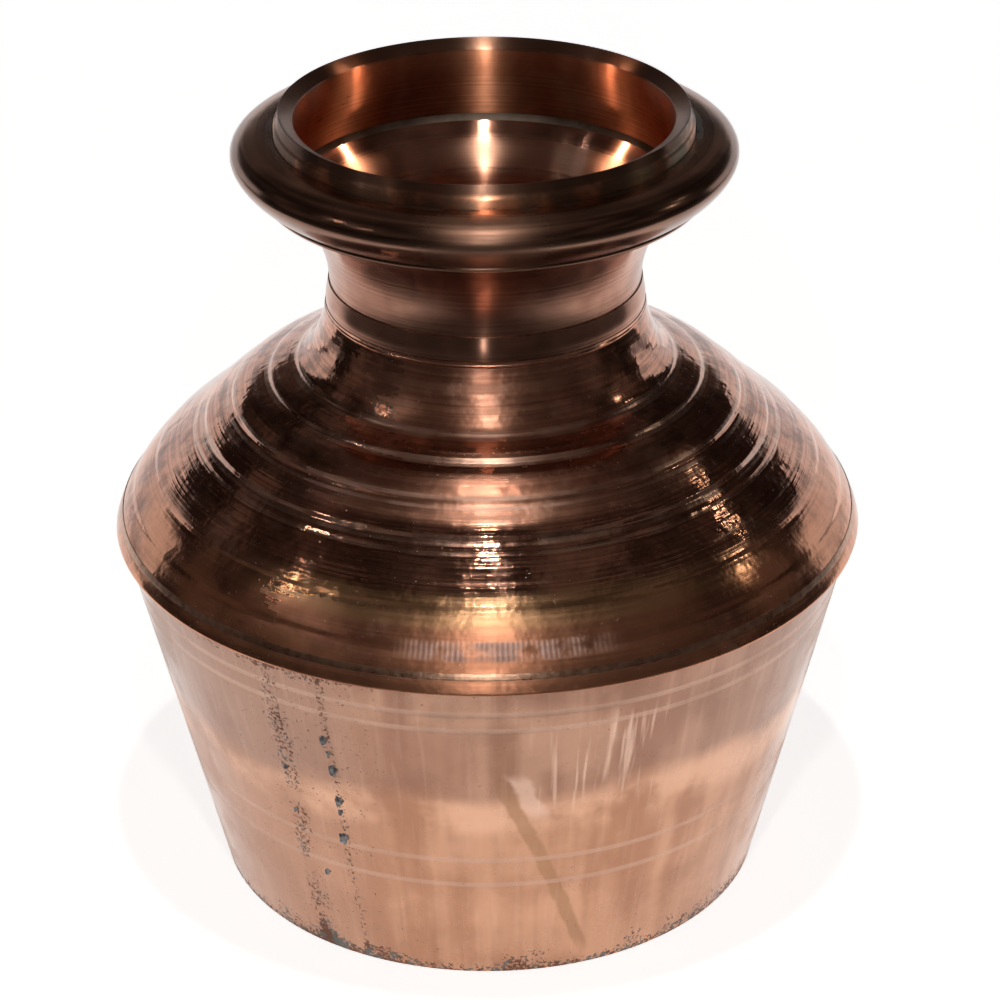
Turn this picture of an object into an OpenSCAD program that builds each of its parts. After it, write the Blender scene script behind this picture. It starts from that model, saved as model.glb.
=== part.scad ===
// Copper water pot: a conical foot with a brazed side seam, a turned shoulder,
// a flared neck with a collar, and a hollow drooping rim round a stepped lip.
// Millimetres, +Z up, origin at the centre of the underside. The front of the pot faces -Y.

/* [Sheet and joints] */
// Thickness of the copper sheet
sheet_t = 1.2; // [1:0.1:1.4]
// Thickness of a brazed layer between two lapped sheets
braze_t = 0.4; // [0.3:0.05:0.5]

/* [Foot] */
// Outer radius of the wall at the floor
base_r = 98.4; // [95:0.1:101]
// Outer radius of the wall at the shoulder's lower edge
waist_r = 130; // [127:0.1:132]
// Height of the shoulder's lower edge
waist_z = 131.5; // [128:0.5:134]
// Height of the floor pan's turned-up edge
pan_edge_h = 8; // [6:0.5:12]
// Radius of the floor pan's lower corner
pan_corner_r = 2.5; // [2:0.1:3.5]

/* [Side seam] */
// Direction of the seam's left edge, turned from the front of the pot
seam_left_deg = -35.3; // [-60:0.1:-30]
// Angle between the seam's left and right edges
seam_span_deg = 9.3; // [6:0.1:12]
// Number of interlocked tabs up the seam
seam_tabs = 12; // [6:1:16]
// Width of the brazed line between the tabs
seam_line_w = 0.6; // [0.4:0.1:1]
// Height of a solder dab above the wall
dab_h = 0.7; // [0.5:0.1:1]

/* [Shoulder] */
// Height of the shoulder's upright skirt over the wall
skirt_h = 3; // [2.5:0.1:4]
// Radius at which the shoulder's slope begins to flatten
crown_r = 92; // [90:0.5:94]
// Height of that place
crown_z = 177.9; // [176:0.1:180]
// Height of each turned step
step_h = 0.5; // [0.2:0.1:0.6]
// Height of the bead under the neck collar
foot_bead_z = 214; // [213:0.1:214.2]

/* [Neck] */
// Outer radius of the neck at its narrowest
neck_r = 54.1; // [53:0.1:55]
// Height of the collar's lower edge
collar_z = 215.5; // [215:0.1:216]
// Height of the neck's narrowest place, where the collar ends and the flare starts
flare_z = 224; // [222:0.1:224.5]
// Radius of the neck's flaring curve
flare_r = 40; // [39.5:0.1:40.5]

/* [Rim] */
// Largest radius of the drooping flange
rim_r = 86.6; // [85:0.1:88]
// Height at which the flange is widest
rim_z = 270.4; // [269.5:0.1:271]
// Radius of the flange's inner edge
flange_in_r = 72.2; // [72:0.1:73]
// Height of the flange's inner edge
flange_top_z = 277.4; // [277:0.1:278]
// Radius of the rolled bead on the flange's lower edge
hem_r = 1.3; // [1.1:0.1:1.4]

/* [Lip] */
// Radius of the mouth at the lip
mouth_r = 64.8; // [64:0.1:65.5]
// Radius of the mouth where the sleeve meets the neck
sleeve_foot_r = 67.6; // [67:0.1:68]
// Height of the lip's crest, the top of the pot
crest_z = 285.2; // [284.5:0.1:286]
// Length of the straight throat below the lip
throat_len = 8; // [6:0.5:10]

/* [Hidden] */
$fn = 128;

copper_pale = "#d9a68c";
copper_dark = "#6b4030";
copper_mid = "#9c6248";
copper_red = "#b5603c";
braze_gold = "#c8a05a";
solder_grey = "#8d8f91";

// Lean of the conical wall: radius gained per unit of height, and the slant of one unit of height
wall_lean = (waist_r - base_r) / waist_z;
wall_slant = sqrt(1 + wall_lean * wall_lean);
wall_deg = atan(wall_lean);

// The shoulder's profile as four smooth runs: belly, slope, crown and neck fillet
skirt_top_z = waist_z + skirt_h;
skirt_top_r = base_r + wall_lean * skirt_top_z + (braze_t + sheet_t) * wall_slant;
belly_end = [112.5, 159.9];
crown_start = [crown_r, crown_z];
crown_end = [62, 195.5];
collar_in_r = neck_r + braze_t;
foot_r = collar_in_r + sheet_t;
foot_bead_h = 0.5;
foot_z = foot_bead_z - foot_bead_h;
belly_run = [[skirt_top_r, skirt_top_z], [skirt_top_r, skirt_top_z + 6.5], [122, 152], belly_end];
slope_run = straight(belly_end, crown_start);
crown_run = [crown_start, [crown_r - 7, crown_z + 6.7], [78, 187.5], crown_end];
fillet_run = [crown_end, [59.3, 196.85], [57.9, 204.8], [foot_r, foot_z]];

// Shares of the belly run between which the wall's turned-in edge follows it, and where the
// shoulder's inner face goes on alone
tuck_start = 0.03;
tuck_share = 0.22;
tuck_clear = 0.28;

// Radii of the turned steps, and the width over which each one falls
slope_steps = [99.4];
crown_steps = [89.7, 76.4, 66.8];
step_run = 1.4;
crown_middle_r = 83;

// Share of the fillet that its inner face leaves out, where the crown's inner face runs past it
fillet_clear = 0.1;

// The collar stands a little inside the bead, upright at first and then leaning in
collar_r = foot_r - 0.2;
collar_edge_t = 0.3;
collar_run = [
    [collar_r, collar_z + 2], [collar_r, collar_z + 3.6],
    [collar_r - 0.4, flare_z - 3], [collar_in_r + collar_edge_t, flare_z]
];

// The neck flares along an arc about this centre, up to the end angle
flare_c = [neck_r + flare_r, flare_z];
flare_end_deg = 62.3;
sleeve_foot_deg = acos((flare_c[0] - sleeve_foot_r) / (flare_r + sheet_t));

// The flange's two runs: over the top and down under, and its rolled lower edge
flange_foot = [76.4, 258.7];
flange_over = [
    [flange_in_r, flange_top_z], [flange_in_r + 6.8, flange_top_z],
    [rim_r, rim_z + 5.4], [rim_r, rim_z]
];
flange_under = [[rim_r, rim_z], [rim_r, rim_z - 3.4], [81.5, 261.7], flange_foot];
hem_deg = 61.2;
hem_bite = 0.3;
hem_from_deg = 25;
hem_to_deg = -230;

// Shares of the lower run that the sheet's two faces keep: clear of the widest place, up to the hem
under_start = 0.1;
under_end_out = 0.95;
under_end_in = 0.97;

// The lip: bevelled crest, thin edge, ridge and foot, as radii and heights
crest_r = 70;
lip_edge_r = 70.4;
lip_edge_z = crest_z - 4;
bevel_z = crest_z - 2.9;
ridge_r = 71.6;
ridge_z = crest_z - 4.6;
lip_foot_z = flange_top_z - sheet_t;
sleeve_t = 1.3;
sleeve_back_z = lip_foot_z - 2;
throat_foot = [mouth_r, bevel_z - throat_len];

// Solder: legs of the fillet inside the mouth, and depth and bead of the filled crevice
fillet_len = 1.5;
crevice_depth = 0.4;
crevice_bead = 1.6;

// The seam's path over the wall, sideways and up: along one tab's edge, across, and along the next
seam_overrun = 12;
seam_tab_h = (waist_z + seam_overrun) / seam_tabs;
seam_path = [
    for (i = [0:seam_tabs - 1], end = [0, 1])
        let (z = (i + end) * seam_tab_h)
        [(i % 2 == 0 ? -1 : 1) * wall_out(z) * sin(seam_span_deg / 2), i + end == 0 ? -seam_overrun : z]
];

// Solder dabs on the seam: turn from the front, height, and radius on the wall
seam_dabs = [
    [-26.8, 103, 2.1], [-26.3, 97, 1.2], [-26.0, 90, 2.4], [-26.0, 75.8, 2.2],
    [-26.2, 70, 1.4], [-26.4, 58.2, 2.5], [-31.6, 38.4, 1.6], [-35.6, 84.3, 1.3], [-35.8, 64.4, 1.1]
];

// A cubic run through four control points: its point, its heading, and a point set in from it
function straight(a, b) = [a, a + (b - a) / 3, b - (b - a) / 3, b];
function curve(p, t) =
    pow(1 - t, 3) * p[0] + 3 * t * pow(1 - t, 2) * p[1] + 3 * t * t * (1 - t) * p[2] + pow(t, 3) * p[3];
function heading(p, t) =
    pow(1 - t, 2) * (p[1] - p[0]) + 2 * t * (1 - t) * (p[2] - p[1]) + t * t * (p[3] - p[2]);
function inward(d) = [-d[1], d[0]] / norm(d);
function set_in(p, t, depth) = curve(p, t) + depth * inward(heading(p, t));
function follow(p, depth, steps, from = 0, to = 1) =
    [for (i = [0:steps]) set_in(p, from + (to - from) * i / steps, depth)];
function backwards(points) = [for (i = [len(points) - 1:-1:0]) points[i]];

// The place on a run that has radius r, by halving, on runs whose radius falls all the way
function place_of(p, r, low = 0, high = 1, halvings = 20) =
    let (middle = (low + high) / 2)
    halvings == 0 ? middle
    : curve(p, middle)[0] > r ? place_of(p, r, middle, high, halvings - 1)
    : place_of(p, r, low, middle, halvings - 1);

// A turned step: the surface stands step_h proud on its inner side and falls away outwards
function step_at(p, r) = [
    set_in(p, place_of(p, r + step_run / 2), 0),
    set_in(p, place_of(p, r - step_run / 2), -step_h)
];

// A path moved sideways by d, where each of its corners is close to square
function beside(path, d) = [
    for (i = [0:len(path) - 1])
        path[i]
        + (i > 0 ? d * inward(path[i] - path[i - 1]) : [0, 0])
        + (i < len(path) - 1 ? d * inward(path[i + 1] - path[i]) : [0, 0])
];

function wall_out(z) = base_r + wall_lean * z;
function wall_in(z) = wall_out(z) - sheet_t * wall_slant;
function skirt_in(z) = wall_out(z) + braze_t * wall_slant;
function arc(c, r, from, to, steps) =
    [for (i = [0:steps]) c + r * [cos(from + (to - from) * i / steps), sin(from + (to - from) * i / steps)]];
function flare(depth, deg) = flare_c + (flare_r + depth) * [-cos(deg), sin(deg)];
function flare_arc(depth, from, to, steps) =
    [for (i = [0:steps]) flare(depth, from + (to - from) * i / steps)];

// The floor pan's lower corner is an arc that touches the floor and the wall's inner face
pan_corner_c = [wall_in(pan_corner_r) - pan_corner_r * wall_slant, pan_corner_r];
pan_corner = arc(pan_corner_c, pan_corner_r, -90, -wall_deg, 5);

module base_plate() {
    inner_corner = wall_in(sheet_t) - sheet_t * wall_slant;
    color(copper_pale)
    rotate_extrude()
    polygon(concat(
        [[0, 0]],
        pan_corner,
        [[wall_in(pan_edge_h), pan_edge_h], [wall_in(pan_edge_h) - sheet_t * wall_slant, pan_edge_h]],
        [[inner_corner, sheet_t], [0, sheet_t]]
    ));
}

module base_joint_solder() {
    color(solder_grey)
    rotate_extrude()
    polygon(concat([[wall_in(0), 0]], backwards(pan_corner)));
}

// The wall's sheet all round, with its top edge tucked in under the shoulder
module wall_sheet() {
    outer = follow(belly_run, sheet_t + braze_t, 5, tuck_start, tuck_share);
    inner = follow(belly_run, 2 * sheet_t + braze_t, 5, tuck_start, tuck_share);
    rotate_extrude()
    polygon(concat(
        [[wall_in(0), 0], [wall_out(0), 0], [wall_out(skirt_top_z), skirt_top_z]],
        outer,
        backwards(inner),
        [[wall_in(skirt_top_z), skirt_top_z]]
    ));
}

// The line along which the sheet's two ends interlock, as a band cut in from outside
module seam_line() {
    rotate(seam_left_deg + seam_span_deg / 2)
    rotate([90, 0, 0])
    translate([0, 0, base_r - seam_overrun])
    linear_extrude(height = waist_r - base_r + 2 * seam_overrun)
    polygon(concat(beside(seam_path, seam_line_w / 2), backwards(beside(seam_path, -seam_line_w / 2))));
}

module base_wall() {
    color(copper_pale)
    difference() {
        wall_sheet();
        seam_line();
    }
}

module side_seam_braze() {
    color(braze_gold)
    intersection() {
        wall_sheet();
        seam_line();
    }
}

// Each dab is the cap of a ball, set flat on the wall
module seam_solder_dabs() {
    color(solder_grey)
    for (dab = seam_dabs) {
        ball_r = (dab[2] * dab[2] + dab_h * dab_h) / (2 * dab_h);
        cap_deg = asin(dab[2] / ball_r);
        rotate(dab[0] - 90)
        translate([wall_out(dab[1]), 0, dab[1]])
        rotate([0, 90 + wall_deg, 0])
        rotate_extrude($fn = 32)
        polygon(concat([[0, 0]], arc([0, dab_h - ball_r], ball_r, 90 - cap_deg, 90, 6)));
    }
}

module waist_joint_braze() {
    color(braze_gold)
    rotate_extrude()
    polygon(concat(
        [[wall_out(waist_z), waist_z], [skirt_in(waist_z), waist_z]],
        follow(belly_run, sheet_t, 5, tuck_start, tuck_share),
        backwards(follow(belly_run, sheet_t + braze_t, 5, tuck_start, tuck_share)),
        [[wall_out(skirt_top_z), skirt_top_z]]
    ));
}

module shoulder_shell() {
    crown_middle = set_in(crown_run, place_of(crown_run, crown_middle_r), -step_h / 2);
    outer = concat(
        [[skirt_in(waist_z) + sheet_t * wall_slant, waist_z]],
        follow(belly_run, 0, 14),
        [for (r = slope_steps) each step_at(slope_run, r)],
        step_at(crown_run, crown_steps[0]),
        [crown_middle],
        step_at(crown_run, crown_steps[1]),
        step_at(crown_run, crown_steps[2]),
        follow(fillet_run, 0, 10),
        [[foot_r + foot_bead_h, foot_bead_z], [foot_r, foot_bead_z + foot_bead_h], [foot_r, collar_z]]
    );
    inner = concat(
        [[skirt_in(waist_z), waist_z]],
        follow(belly_run, sheet_t, 5, tuck_start, tuck_share),
        follow(belly_run, sheet_t, 9, tuck_clear, 1),
        follow(crown_run, sheet_t, 6),
        follow(fillet_run, sheet_t, 8, fillet_clear, 1),
        [[collar_in_r, foot_z], [collar_in_r, collar_z]]
    );
    color(copper_dark)
    rotate_extrude()
    polygon(concat(outer, backwards(inner)));
}

module neck_joint_braze() {
    color(braze_gold)
    rotate_extrude()
    translate([neck_r, foot_z])
    square([collar_in_r - neck_r, flare_z - foot_z]);
}

module neck_collar() {
    color(copper_mid)
    rotate_extrude()
    polygon(concat(
        [[collar_in_r, collar_z], [collar_r, collar_z]],
        follow(collar_run, 0, 6),
        [[collar_in_r, flare_z]]
    ));
}

module neck_funnel() {
    color(copper_mid)
    difference() {
        rotate_extrude()
        polygon(concat(
            [[neck_r - sheet_t, foot_z], [neck_r, foot_z]],
            flare_arc(0, 0, flare_end_deg, 16),
            flare_arc(sheet_t, flare_end_deg, 0, 16)
        ));
        flange_solid();
    }
}

// Grey solder in the corner between the neck's flare and the sleeve's foot
module rim_joint_solder() {
    foot = flare(sheet_t, sleeve_foot_deg);
    up = throat_foot - foot;
    low_deg = sleeve_foot_deg - fillet_len / (flare_r + sheet_t) * 180 / PI;
    color(solder_grey)
    rotate_extrude()
    polygon(concat(
        flare_arc(sheet_t, low_deg, sleeve_foot_deg, 4),
        [foot + up * fillet_len / norm(up)]
    ));
}

module mouth_sleeve() {
    back_deg = acos((flare_c[0] - sleeve_foot_r - sleeve_t) / (flare_r + sheet_t));
    color(copper_red)
    rotate_extrude()
    polygon(concat(
        flare_arc(sheet_t, back_deg, sleeve_foot_deg, 3),
        [throat_foot, [mouth_r, bevel_z], [crest_r, crest_z], [lip_edge_r, lip_edge_z]],
        [[ridge_r, ridge_z], [ridge_r, lip_foot_z], [mouth_r + sleeve_t, sleeve_back_z]]
    ));
}

// Solder in the crevice between the lip's foot and the flange, with a bead inside the rim
module lip_joint_solder() {
    color(solder_grey)
    rotate_extrude()
    polygon([
        [ridge_r, flange_top_z - crevice_depth], [flange_in_r, flange_top_z - crevice_depth],
        [flange_in_r, lip_foot_z - crevice_bead / 2], [ridge_r, lip_foot_z - crevice_bead],
        [ridge_r, lip_foot_z]
    ]);
}

// The flange's sheet, over the top, down and round its rolled lower edge, and back inside
module flange_solid() {
    hem_c = flare(hem_bite - hem_r, hem_deg);
    rotate_extrude()
    polygon(concat(
        follow(flange_over, 0, 12),
        follow(flange_under, 0, 9, under_start, under_end_out),
        arc(hem_c, hem_r, hem_from_deg, hem_to_deg, 16),
        follow(flange_under, -sheet_t, 9, under_end_in, under_start),
        follow(flange_over, -sheet_t, 12, 1, 0)
    ));
}

module rim_flange() {
    color(copper_dark)
    flange_solid();
}

base_plate();
base_joint_solder();
base_wall();
side_seam_braze();
seam_solder_dabs();
waist_joint_braze();
shoulder_shell();
neck_joint_braze();
neck_collar();
neck_funnel();
rim_joint_solder();
mouth_sleeve();
lip_joint_solder();
rim_flange();
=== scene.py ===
# %% [markdown]
# # A copper water pot, turned and dressed
# The pot is sheet copper: a conical foot with a brazed side seam, a shoulder that was turned and
# burnished, a collared neck that flares, and a hollow rim round a stepped lip. The construction is
# already fixed, so the first cell loads it as a frame. Everything made below sits in that frame,
# in metres, and is only a finer skin of the same pieces.

# %% Load the fixed frame
import math

import bpy
from mathutils import Matrix, Vector


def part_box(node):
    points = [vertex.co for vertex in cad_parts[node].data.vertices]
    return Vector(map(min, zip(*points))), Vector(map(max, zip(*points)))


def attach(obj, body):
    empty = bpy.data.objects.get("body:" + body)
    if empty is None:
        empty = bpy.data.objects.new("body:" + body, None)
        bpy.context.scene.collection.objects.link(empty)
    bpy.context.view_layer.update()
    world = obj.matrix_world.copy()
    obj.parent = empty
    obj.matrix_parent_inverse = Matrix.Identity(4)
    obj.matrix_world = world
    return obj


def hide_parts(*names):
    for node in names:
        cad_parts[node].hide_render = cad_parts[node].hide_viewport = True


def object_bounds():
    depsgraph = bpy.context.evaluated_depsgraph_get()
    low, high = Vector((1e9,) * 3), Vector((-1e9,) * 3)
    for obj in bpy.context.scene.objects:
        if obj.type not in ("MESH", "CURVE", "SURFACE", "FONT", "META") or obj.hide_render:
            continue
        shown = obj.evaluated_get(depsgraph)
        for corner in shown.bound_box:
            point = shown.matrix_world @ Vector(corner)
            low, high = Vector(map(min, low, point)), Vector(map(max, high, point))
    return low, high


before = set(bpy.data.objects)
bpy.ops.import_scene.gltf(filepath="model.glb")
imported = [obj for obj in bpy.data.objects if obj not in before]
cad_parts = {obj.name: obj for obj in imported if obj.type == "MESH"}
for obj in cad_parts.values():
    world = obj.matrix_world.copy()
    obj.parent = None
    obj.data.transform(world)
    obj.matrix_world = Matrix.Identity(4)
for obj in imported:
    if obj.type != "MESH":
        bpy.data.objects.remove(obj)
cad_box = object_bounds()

MM = 0.001
pot_height = cad_box[1][2] / MM
print("frame nodes:", len(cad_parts), "height in mm:", round(pot_height, 1))

# %% [markdown]
# ## The camera
# The picture looks down on the pot from a little over a metre away, through a long lens. The place,
# the tilt and the lens were worked out from the pot's own circles: each one shows as an ellipse, and
# how flat it is tells how high the eye stands. The camera is turned a hair about its own axis,
# because the pot leans in the picture.

# %% Camera
camera_place = (0, -1.0956, 0.7029)
camera_tilt = math.radians(27.39)
camera_lean = math.radians(-0.46)
lens_mm = 124.0
sensor_mm = 36
sideways_shift = 0.0128

bpy.ops.object.select_all(action="DESELECT")
bpy.ops.object.camera_add(location=camera_place)
camera = bpy.context.object
camera.name = "picture_camera"
aim = Matrix.Rotation(math.pi / 2 - camera_tilt, 4, "X") @ Matrix.Rotation(camera_lean, 4, "Z")
camera.rotation_euler = aim.to_euler()
camera.data.lens = lens_mm
camera.data.sensor_width = sensor_mm
camera.data.shift_x = sideways_shift
bpy.context.scene.camera = camera
bpy.context.scene.view_settings.view_transform = "Standard"
print("camera at", camera_place, "lens", lens_mm)

# %% [markdown]
# ## Sums with sockets
# A finish is made of nodes, and most of them are plain arithmetic. This small class wraps one output
# socket, so that a sum of sockets can be written as a sum in Python and adds its own Math nodes. One
# method, `node`, adds any other kind of node: its settings are set first, then its sockets are filled
# with numbers or with links.

# %% A socket that can be added and multiplied
class Signal:
    """One output socket of a node tree."""

    def __init__(self, socket):
        self.socket = socket
        self.tree = socket.id_data

    def node(self, kind, settings=None, inputs=None, output=0):
        """Adds a node of this kind to the same tree and returns one of its outputs."""
        made = self.tree.nodes.new("ShaderNode" + kind)
        for key, value in (settings or {}).items():
            setattr(made, key, value)
        for key, value in (inputs or {}).items():
            fill(made.inputs[key], value)
        return Signal(made.outputs[output])

    def math(self, operation, first, second=0.0):
        return self.node("Math", {"operation": operation}, {0: first, 1: second})

    def __add__(self, other):
        return self.math("ADD", self, other)

    def __radd__(self, other):
        return self.math("ADD", other, self)

    def __sub__(self, other):
        return self.math("SUBTRACT", self, other)

    def __rsub__(self, other):
        return self.math("SUBTRACT", other, self)

    def __mul__(self, other):
        return self.math("MULTIPLY", self, other)

    def __rmul__(self, other):
        return self.math("MULTIPLY", other, self)

    def __truediv__(self, other):
        return self.math("DIVIDE", self, other)

    def __pow__(self, other):
        return self.math("POWER", self, other)

    def __abs__(self):
        return self.math("ABSOLUTE", self)


def fill(socket, value):
    """Links a signal to a socket, or sets a plain value on it."""
    if isinstance(value, Signal):
        value.tree.links.new(value.socket, socket)
    else:
        socket.default_value = value


print("signals ready")

# %% [markdown]
# ## Patterns that every finish shares
# All finishes read Object coordinates, so a pattern stays on the metal when the pot is seen from
# another side. Turned metal is marked in circles, so the useful measures are the distance from the
# axis, the height, and the direction round the pot, counted from the front. They are in millimetres
# and radians, which keeps the pattern sizes real sizes.

# %% A new finish and its measures
def new_finish(name):
    """A material with one Principled shader, and the place signal that its patterns read."""
    material = bpy.data.materials.new(name)
    material.use_nodes = True
    shader = material.node_tree.nodes["Principled BSDF"]
    start = material.node_tree.nodes.new("ShaderNodeTexCoord")
    return material, shader, Signal(start.outputs["Object"])


def measures(place):
    """Radius and height in millimetres, and the direction from the front in radians."""
    x, y, z = (place.node("SeparateXYZ", inputs={0: place}, output=i) for i in range(3))
    radius = (x * x + y * y) ** 0.5 / MM
    direction = place.math("ARCTAN2", x, 0.0 - y)
    return radius, z / MM, direction


print("measures ready")

# %% [markdown]
# A pattern is mostly a mask, a signal between 0 and 1 that says where something is. `ease` and `band`
# make masks from a measure, and `field` makes a patch where two bands cross. The clouds are noise,
# and `blend` and `bumped` turn a mask into a colour or into relief.

# %% Masks, noise, colour and relief
def ease(value, low, high):
    """0 below low, 1 above high, and a smooth rise between."""
    settings = {"interpolation_type": "SMOOTHSTEP"}
    return value.node("MapRange", settings, {"Value": value, "From Min": low, "From Max": high})


def band(value, middle, half_width, edge):
    """1 within half_width of the middle, falling to 0 over the edge."""
    return 1.0 - ease(abs(value - middle), half_width, half_width + edge)


def field(one, other, one_band, other_band):
    """A patch where two bands cross, each in a measure of its own."""
    return band(one, *one_band) * band(other, *other_band)


def lines(value, per_mm, detail=2.0):
    """Fine lines that follow one measure: noise along it alone."""
    inputs = {"W": value, "Scale": per_mm, "Detail": detail, "Roughness": 0.6}
    return value.node("TexNoise", {"noise_dimensions": "1D"}, inputs)


def cloud(place, size, detail=3.0, roughness=0.55):
    """Soft blotches of about this size in millimetres."""
    inputs = {"Vector": place, "Scale": 1 / (size * MM), "Detail": detail, "Roughness": roughness}
    return place.node("TexNoise", None, inputs)


def grid_cloud(u, v):
    """Noise over two measures, each already divided by the size it should have."""
    flat = u.node("CombineXYZ", inputs={0: u, 1: v})
    inputs = {"Vector": flat, "Scale": 1.0, "Detail": 2.0, "Roughness": 0.5}
    return u.node("TexNoise", {"noise_dimensions": "2D"}, inputs)


def blend(share, first, second):
    """A colour that goes from the first to the second as share goes from 0 to 1."""
    return share.node("Mix", {"data_type": "RGBA"}, {0: share, 6: first, 7: second}, output=2)


def bumped(height, depth):
    """A normal from a height signal, whose full range stands for depth millimetres."""
    return height.node("Bump", None, {"Height": height, "Strength": 1.0, "Distance": depth * MM})


print("pattern helpers ready")

# %% [markdown]
# ## The floor
# The pot stands on a wide pale floor. A mirror shows what is round it, so the floor matters as much
# as the copper: the foot leans outwards and sees only the floor near it, which makes it pale. The
# camera sees white everywhere. Reflections see white in two round pools of light, one round the pot
# and one behind it, and a dim floor elsewhere, which keeps the front of the neck dark. It is a plane
# whose shader adds some light of its own, and Light Path tells the camera's rays from reflections.

# %% Floor
floor_size = 7.0
bpy.ops.object.select_all(action="DESELECT")
bpy.ops.mesh.primitive_plane_add(size=floor_size)
floor = bpy.context.object
floor.name = "floor"
print("floor", floor_size, "m")

# %% Finish of the floor
floor_white = (0.92, 0.92, 0.92, 1)
floor_grey = (0.15, 0.15, 0.15, 1)
floor_glow = 0.85
outer_glow = 0.22
matt = 0.9
near_pool = (0.34, 0.56)
back_pool = (1.05, 1.00)
pool_edge = 0.04

floor_material, floor_shader, floor_place = new_finish("pale_floor")
floor_shader.inputs["Roughness"].default_value = matt
floor_shader.inputs["Specular IOR Level"].default_value = 0.0
camera_ray, glossy_ray, clear_ray = (
    floor_place.node("LightPath", output=ray)
    for ray in ("Is Camera Ray", "Is Glossy Ray", "Is Transmission Ray")
)


def pool_of_light(middle_y, reach):
    """1 inside a round patch of the floor, 0 outside it."""
    x, y = (floor_place.node("SeparateXYZ", inputs={0: floor_place}, output=i) for i in (0, 1))
    away = (x * x + (y - middle_y) ** 2.0) ** 0.5
    return 1.0 - ease(away, reach, reach + pool_edge)


pool = floor_place.math("MAXIMUM", pool_of_light(*near_pool), pool_of_light(*back_pool))
fill(floor_shader.inputs["Base Color"], blend(pool, floor_grey, floor_white))
seen = floor_place.math("MAXIMUM", camera_ray, (glossy_ray + clear_ray) * pool)
strength = seen * floor_glow + camera_ray * (1.0 - pool) * outer_glow
glow = floor_place.node("Emission", inputs={"Color": floor_white, "Strength": strength})
both = floor_place.node("AddShader", inputs={0: Signal(floor_shader.outputs[0]), 1: glow})
fill(floor_material.node_tree.nodes["Material Output"].inputs["Surface"], both)
floor.data.materials.append(floor_material)
print("pools of light, middle and reach:", near_pool, back_pool)

# %% [markdown]
# ## The room
# The shoulder looks up into the room and turns dark brown, so the room is dim. A plain grey would
# leave the copper flat. Soft patches in it, like furniture out of focus, move over the burnished metal
# when the pot is seen from another side. It is the world's background, coloured by noise, so it needs
# no walls.

# %% Room
room_dark = (0.020, 0.016, 0.015, 1)
room_pale = (0.095, 0.079, 0.071, 1)
room_patches = 2.6
patch_low, patch_high = 0.42, 0.62

world = bpy.data.worlds.new("dim_room")
world.use_nodes = True
outward = Signal(world.node_tree.nodes.new("ShaderNodeTexCoord").outputs["Generated"])
patches = outward.node("TexNoise", None, {"Vector": outward, "Scale": room_patches, "Detail": 3.0})
room = blend(ease(patches, patch_low, patch_high), room_dark, room_pale)
fill(world.node_tree.nodes["Background"].inputs["Color"], room)
bpy.context.scene.world = world
print("room from", room_dark[:3], "to", room_pale[:3])

# %% [markdown]
# ## The screen
# A pale screen stands behind the pot and round its sides, outside the picture. It is what gives the
# outline of the dark shoulder its pale edges. A plane could be bent, but an upright edge, spun part of
# the way round, stands equally far from the pot everywhere.

# %% Screen
screen_reach = 1.9
screen_height = 0.66
screen_span = math.radians(134)
screen_steps = 48

bpy.ops.object.select_all(action="DESELECT")
bpy.ops.mesh.primitive_plane_add(size=MM)
screen = bpy.context.object
screen.name = "screen"
bpy.ops.object.mode_set(mode="EDIT")
bpy.ops.mesh.merge(type="CENTER")
first = Vector((math.sin(screen_span / 2), math.cos(screen_span / 2), 0)) * screen_reach
bpy.ops.transform.translate(value=first)
bpy.ops.mesh.extrude_region_move(TRANSFORM_OT_translate={"value": (0, 0, screen_height)})
bpy.ops.mesh.select_all(action="SELECT")
bpy.ops.mesh.spin(steps=screen_steps, angle=screen_span, center=(0, 0, 0), axis=(0, 0, -1))
bpy.ops.object.mode_set(mode="OBJECT")
print("screen from y", [round(f(v.co.y for v in screen.data.vertices), 2) for f in (min, max)])

# %% Finish of the screen
screen_glow = 0.62
screen_cool = (0.84, 0.92, 1.0, 1)

screen_material, screen_shader, _ = new_finish("pale_screen")
screen_shader.inputs["Base Color"].default_value = floor_white
screen_shader.inputs["Roughness"].default_value = matt
screen_shader.inputs["Emission Color"].default_value = screen_cool
screen_shader.inputs["Emission Strength"].default_value = screen_glow
screen.data.materials.append(screen_material)
print("screen glows", screen_glow)

# %% [markdown]
# ## Lamps on the pot
# Small lamps make the small hot spots that polished metal shows. Three stand in the middle: one over
# the pot for the crown of the shoulder, one between it and the camera for the slope, and one behind
# the camera for the belly and the rim. A weak pair at the right is like a window, and a weak pair at
# the left answers it. Each is aimed at the middle of the pot.

# %% Lamps
warm, warmer = (1.0, 0.97, 0.93), (1.0, 0.96, 0.91)
daylight, amber = (1.0, 0.98, 0.82), (1.0, 0.95, 0.88)
# name, place, width, power in watts, colour
lamp_rows = (
    ("high_lamp", (0.0, -0.36, 1.92), 0.06, 4.5, warmer),
    ("middle_lamp", (0.0, -1.15, 1.45), 0.06, 2.8, warmer),
    ("front_lamp", (-0.05, -1.9, 0.75), 0.05, 3.5, warm),
    ("window_lamp", (1.35, 0.45, 1.25), 0.035, 0.08, daylight),
    ("window_lamp_low", (1.45, 0.10, 1.00), 0.03, 0.2, daylight),
    ("left_lamp", (-1.35, -0.35, 1.35), 0.04, 0.45, warm),
    ("left_lamp_low", (-1.20, -0.80, 1.10), 0.03, 0.25, amber),
)


def aimed(kind, name, place, target, power, colour):
    """A new lamp of this kind that looks at the target."""
    bpy.ops.object.light_add(type=kind, location=place)
    made = bpy.context.object
    made.name = name
    made.data.energy = power
    made.data.color = colour
    made.rotation_euler = (Vector(target) - Vector(place)).to_track_quat("-Z", "Y").to_euler()
    return made.data


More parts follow.
